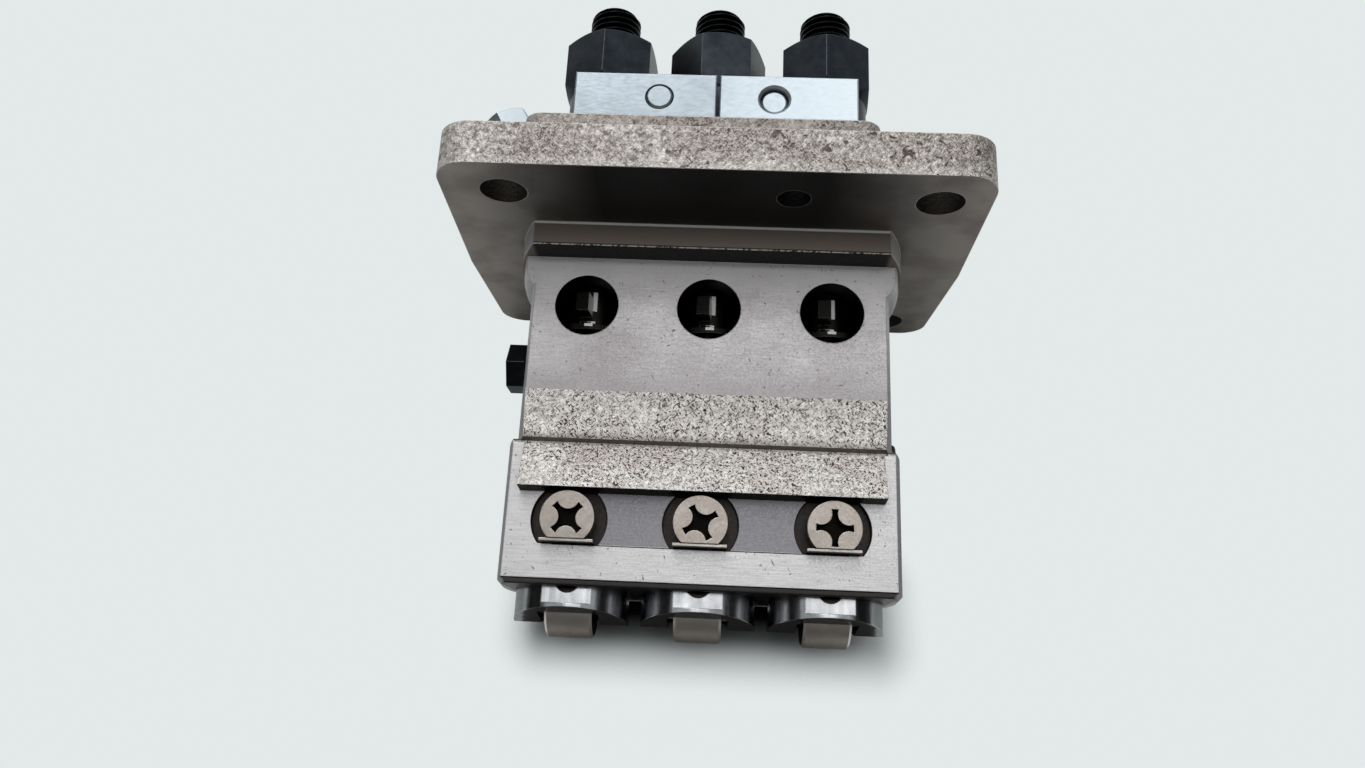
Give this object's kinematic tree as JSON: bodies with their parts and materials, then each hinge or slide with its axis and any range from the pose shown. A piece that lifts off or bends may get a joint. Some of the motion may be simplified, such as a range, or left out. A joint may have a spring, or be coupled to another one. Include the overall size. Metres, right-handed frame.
{
  "type": "diesel injection pump",
  "caption": "In-line diesel injection pump with roller tappets, control rack, delivery unions in lock blocks and a bolted flange.",
  "frame": {"origin": "on the middle plunger's axis, in the plane of the mounting flange's underside", "axes": "+Z along the plungers towards the delivery unions, +X along the row of plungers, +Y towards the rack's drive pin, away from the windows"},
  "size_m": [0.1106, 0.0816, 0.1465],
  "materials": {
    "cast_iron": "shot-blasted iron casting, warm grey, with milled faces",
    "rack_steel": "satin steel",
    "copper": "soft copper",
    "seal_rubber": "black nitrile rubber",
    "zinc_plate": "bright zinc plate, satin",
    "screw_steel": "warm grey steel",
    "lock_plate_steel": "thin rolled steel",
    "black_oxide": "blue-black oxide, satin",
    "ground_steel": "ground bright steel",
    "sleeve_steel": "dark hardened steel",
    "spring_steel": "shot-peened spring wire",
    "tappet_steel": "ground, polished steel",
    "roller_steel": "hardened steel, brown-grey"
  },
  "bodies": {
    "housing": {"pump_housing": "cast_iron", "barrel_1": "ground_steel", "barrel_2": "ground_steel", "barrel_3": "ground_steel", "delivery_valve_body_1": "ground_steel", "delivery_valve_body_2": "ground_steel", "delivery_valve_body_3": "ground_steel", "delivery_holder_1": "black_oxide", "delivery_holder_2": "black_oxide", "delivery_holder_3": "black_oxide", "spring_seat_upper_1": "sleeve_steel", "spring_seat_upper_2": "sleeve_steel", "spring_seat_upper_3": "sleeve_steel", "plunger_spring_1": "spring_steel", "plunger_spring_2": "spring_steel", "plunger_spring_3": "spring_steel", "valve_spring_1": "spring_steel", "valve_spring_2": "spring_steel", "valve_spring_3": "spring_steel", "valve_gaskets": "copper", "holder_seals": "seal_rubber", "clamp_front_left": "zinc_plate", "clamp_front_right": "zinc_plate", "clamp_rear_left": "zinc_plate", "clamp_rear_right": "zinc_plate", "clamp_bolts": "zinc_plate", "guide_screws": "screw_steel", "lock_plates": "lock_plate_steel", "inlet_union": "zinc_plate", "side_plug": "black_oxide", "drain_plug": "black_oxide", "rack_cup_plugs": "rack_steel"},
    "rack": {"control_rack": "rack_steel"},
    "sleeve_1": {"control_sleeve_1": "sleeve_steel"},
    "tappet_unit_1": {"tappet_1": "tappet_steel", "roller_axle_1": "ground_steel", "spring_seat_lower_1": "rack_steel"},
    "plunger_1": {"plunger_1": "ground_steel"},
    "roller_1": {"roller_1": "roller_steel"},
    "valve_1": {"delivery_valve_1": "ground_steel"},
    "sleeve_2": {"control_sleeve_2": "sleeve_steel"},
    "tappet_unit_2": {"tappet_2": "tappet_steel", "roller_axle_2": "ground_steel", "spring_seat_lower_2": "rack_steel"},
    "plunger_2": {"plunger_2": "ground_steel"},
    "roller_2": {"roller_2": "roller_steel"},
    "valve_2": {"delivery_valve_2": "ground_steel"},
    "sleeve_3": {"control_sleeve_3": "sleeve_steel"},
    "tappet_unit_3": {"tappet_3": "tappet_steel", "roller_axle_3": "ground_steel", "spring_seat_lower_3": "rack_steel"},
    "plunger_3": {"plunger_3": "ground_steel"},
    "roller_3": {"roller_3": "roller_steel"},
    "valve_3": {"delivery_valve_3": "ground_steel"}
  },
  "joints": [
    {"name": "rack_slide", "type": "slide", "parent": "housing", "child": "rack", "axis": [1, 0, 0], "range_m": [-0.0063, 0.0037]},
    {"name": "sleeve_turn_1", "type": "hinge", "parent": "housing", "child": "sleeve_1", "pos_m": [-0.0254, 0, -0.012], "axis": [0, 0, 1], "range_deg": [-18, 30.5]},
    {"name": "tappet_lift_1", "type": "slide", "parent": "housing", "child": "tappet_unit_1", "axis": [0, 0, 1], "range_m": [0, 0.007], "stiffness_N_per_m": 3000, "springref_m": -0.008, "deforming": ["plunger_spring_1"]},
    {"name": "plunger_turn_1", "type": "hinge", "parent": "tappet_unit_1", "child": "plunger_1", "pos_m": [-0.0254, 0, -0.056], "axis": [0, 0, 1], "range_deg": [-18, 30.5]},
    {"name": "roller_spin_1", "type": "hinge", "parent": "tappet_unit_1", "child": "roller_1", "pos_m": [-0.0254, 0, -0.0751], "axis": [1, 0, 0], "continuous": true},
    {"name": "valve_lift_1", "type": "slide", "parent": "housing", "child": "valve_1", "axis": [0, 0, 1], "range_m": [0, 0.002], "stiffness_N_per_m": 800, "springref_m": -0.003, "deforming": ["valve_spring_1"]},
    {"name": "sleeve_turn_2", "type": "hinge", "parent": "housing", "child": "sleeve_2", "pos_m": [0, 0, -0.012], "axis": [0, 0, 1], "range_deg": [-18, 30.5]},
    {"name": "tappet_lift_2", "type": "slide", "parent": "housing", "child": "tappet_unit_2", "axis": [0, 0, 1], "range_m": [0, 0.007], "stiffness_N_per_m": 3000, "springref_m": -0.008, "deforming": ["plunger_spring_2"]},
    {"name": "plunger_turn_2", "type": "hinge", "parent": "tappet_unit_2", "child": "plunger_2", "pos_m": [0, 0, -0.056], "axis": [0, 0, 1], "range_deg": [-18, 30.5]},
    {"name": "roller_spin_2", "type": "hinge", "parent": "tappet_unit_2", "child": "roller_2", "pos_m": [0, 0, -0.0751], "axis": [1, 0, 0], "continuous": true},
    {"name": "valve_lift_2", "type": "slide", "parent": "housing", "child": "valve_2", "axis": [0, 0, 1], "range_m": [0, 0.002], "stiffness_N_per_m": 800, "springref_m": -0.003, "deforming": ["valve_spring_2"]},
    {"name": "sleeve_turn_3", "type": "hinge", "parent": "housing", "child": "sleeve_3", "pos_m": [0.0254, 0, -0.012], "axis": [0, 0, 1], "range_deg": [-18, 30.5]},
    {"name": "tappet_lift_3", "type": "slide", "parent": "housing", "child": "tappet_unit_3", "axis": [0, 0, 1], "range_m": [0, 0.007], "stiffness_N_per_m": 3000, "springref_m": -0.008, "deforming": ["plunger_spring_3"]},
    {"name": "plunger_turn_3", "type": "hinge", "parent": "tappet_unit_3", "child": "plunger_3", "pos_m": [0.0254, 0, -0.056], "axis": [0, 0, 1], "range_deg": [-18, 30.5]},
    {"name": "roller_spin_3", "type": "hinge", "parent": "tappet_unit_3", "child": "roller_3", "pos_m": [0.0254, 0, -0.0751], "axis": [1, 0, 0], "continuous": true},
    {"name": "valve_lift_3", "type": "slide", "parent": "housing", "child": "valve_3", "axis": [0, 0, 1], "range_m": [0, 0.002], "stiffness_N_per_m": 800, "springref_m": -0.003, "deforming": ["valve_spring_3"]}
  ],
  "couplings": [
    {"joint": "sleeve_turn_1", "follows": "rack_slide", "rad_per_m": -83.333},
    {"joint": "plunger_turn_1", "follows": "rack_slide", "rad_per_m": -83.333},
    {"joint": "sleeve_turn_2", "follows": "rack_slide", "rad_per_m": -83.333},
    {"joint": "plunger_turn_2", "follows": "rack_slide", "rad_per_m": -83.333},
    {"joint": "sleeve_turn_3", "follows": "rack_slide", "rad_per_m": -83.333},
    {"joint": "plunger_turn_3", "follows": "rack_slide", "rad_per_m": -83.333}
  ]
}
